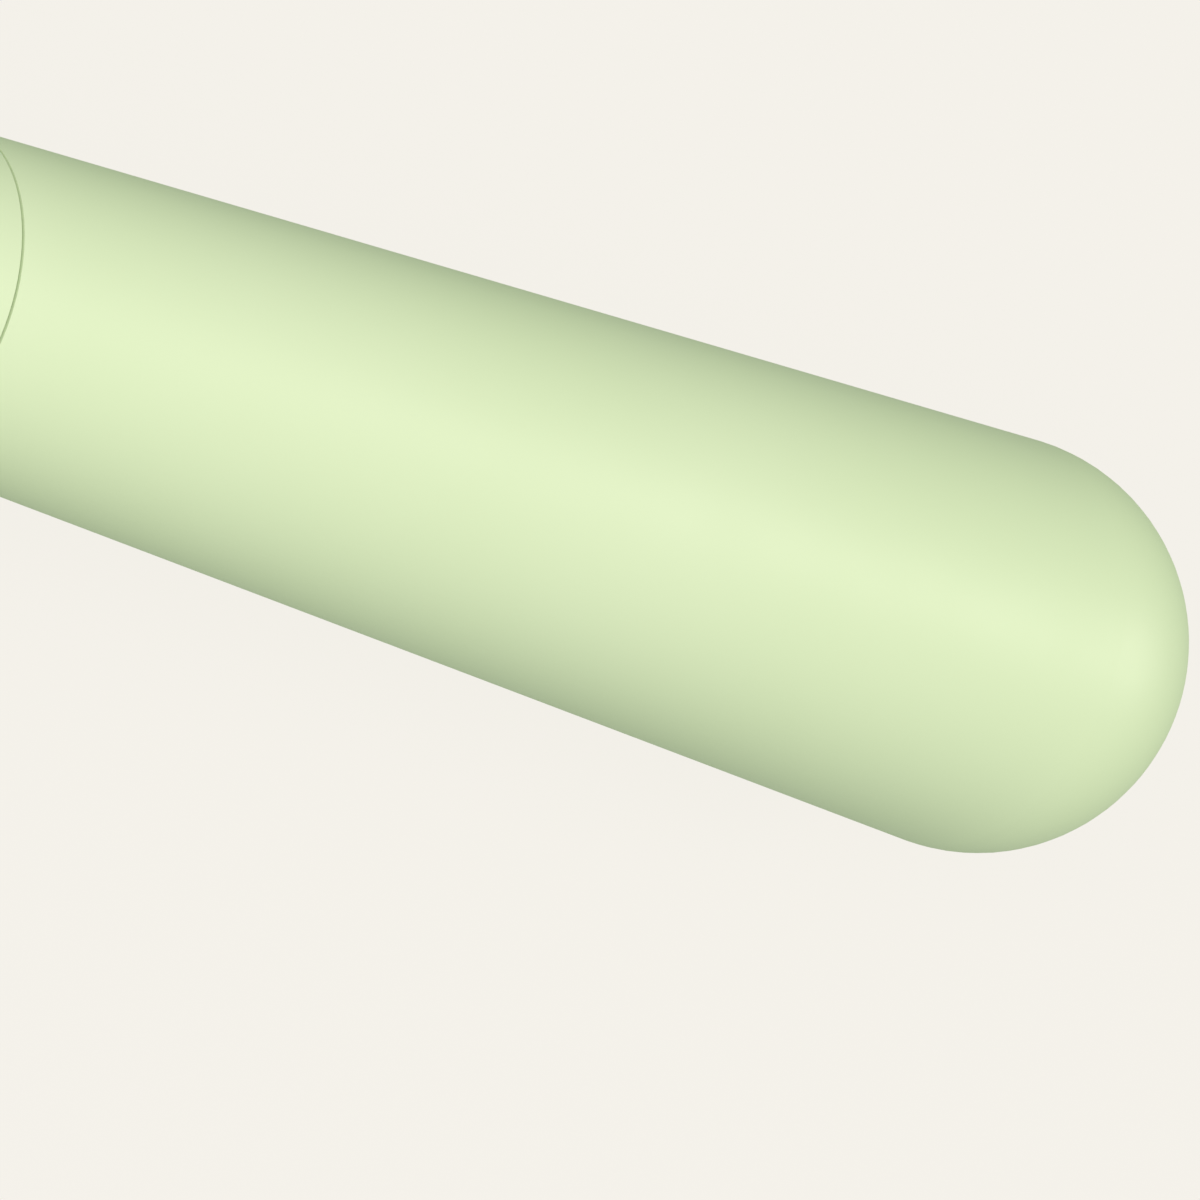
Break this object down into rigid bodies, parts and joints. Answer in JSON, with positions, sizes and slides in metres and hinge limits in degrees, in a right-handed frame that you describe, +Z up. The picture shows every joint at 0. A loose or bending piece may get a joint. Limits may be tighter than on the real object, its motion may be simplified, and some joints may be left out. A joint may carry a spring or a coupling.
{
  "type": "massage gun",
  "caption": "Cordless percussive massage gun with a round tapered handle, a domed tip and a ball head driven by a crank and plunger.",
  "frame": {"origin": "mouth of the head socket, at the centre of the barrel's front rim", "axes": "-Y is the stroke direction, +X runs down the handle to its tip, +Z is up with the gun lying on its right-hand side"},
  "size_m": [0.2282, 0.1358, 0.05],
  "materials": {
    "shell_green": "satin",
    "bezel_sage": "satin",
    "foam_white": "matte",
    "dark_plastic": "matte",
    "seal_rubber": "matte",
    "gasket_green": "matte",
    "light_guide": "translucent",
    "machined_steel": "machined",
    "plated_steel": "bright",
    "cast_aluminium": "cast",
    "bronze": "sintered",
    "copper_wire": "enamelled",
    "magnet_nickel": "plated",
    "board_green": "lacquered",
    "black_epoxy": "moulded",
    "cell_wrap": "shrink film",
    "lead_silicone": "matte",
    "white_plastic": "matte"
  },
  "bodies": {
    "housing": {"battery_cell_front": "cell_wrap", "battery_cell_rear": "cell_wrap", "battery_cradle": "white_plastic", "board_components": "black_epoxy", "board_screws": "plated_steel", "button_board": "board_green", "button_halo": "light_guide", "charge_board": "board_green", "charge_leads": "lead_silicone", "controller_board": "board_green", "drive_frame": "cast_aluminium", "dust_seal": "seal_rubber", "front_bezel": "bezel_sage", "front_isolator": "seal_rubber", "guide_bushing": "bronze", "handle_sleeve": "shell_green", "left_head_shell": "shell_green", "level_lamps": "white_plastic", "level_lights": "light_guide", "light_ring": "light_guide", "motor_bearings": "machined_steel", "motor_leads": "lead_silicone", "motor_stator": "machined_steel", "motor_windings": "copper_wire", "neck_collar": "white_plastic", "neck_gasket": "gasket_green", "nickel_strips": "magnet_nickel", "rear_cap": "shell_green", "rear_isolator": "seal_rubber", "right_head_shell": "shell_green", "screw_plugs": "shell_green", "shell_screws": "plated_steel", "tact_switch": "black_epoxy", "usb_receptacle": "plated_steel", "usb_tongue": "black_epoxy"},
    "rotor": {"motor_can": "machined_steel", "rotor_magnets": "magnet_nickel", "motor_shaft": "machined_steel", "crank": "machined_steel"},
    "plunger": {"plunger": "machined_steel", "wrist_pin": "machined_steel"},
    "conrod": {"conrod": "cast_aluminium", "big_end_bearing": "machined_steel", "crank_pin": "machined_steel"},
    "head": {"ball_foam": "foam_white", "head_core": "dark_plastic", "head_o_ring": "seal_rubber"},
    "button": {"power_button": "bezel_sage"}
  },
  "joints": [
    {"name": "rotor_spin", "type": "hinge", "parent": "housing", "child": "rotor", "pos_m": [0.01, 0.046, 0], "axis": [1, 0, 0], "continuous": true},
    {"name": "plunger_slide", "type": "slide", "parent": "housing", "child": "plunger", "axis": [0, -1, 0], "range_m": [0, 0.008]},
    {"name": "conrod_swing", "type": "hinge", "parent": "plunger", "child": "conrod", "pos_m": [0, 0.024, 0], "axis": [1, 0, 0], "range_deg": [-8.85, 8.85]},
    {"name": "head_pull", "type": "slide", "parent": "plunger", "child": "head", "axis": [0, -1, 0], "range_m": [0, 0.03]},
    {"name": "button_press", "type": "slide", "parent": "housing", "child": "button", "axis": [0, -1, 0], "range_m": [0, 0.0006], "stiffness_N_per_m": 800}
  ]
}
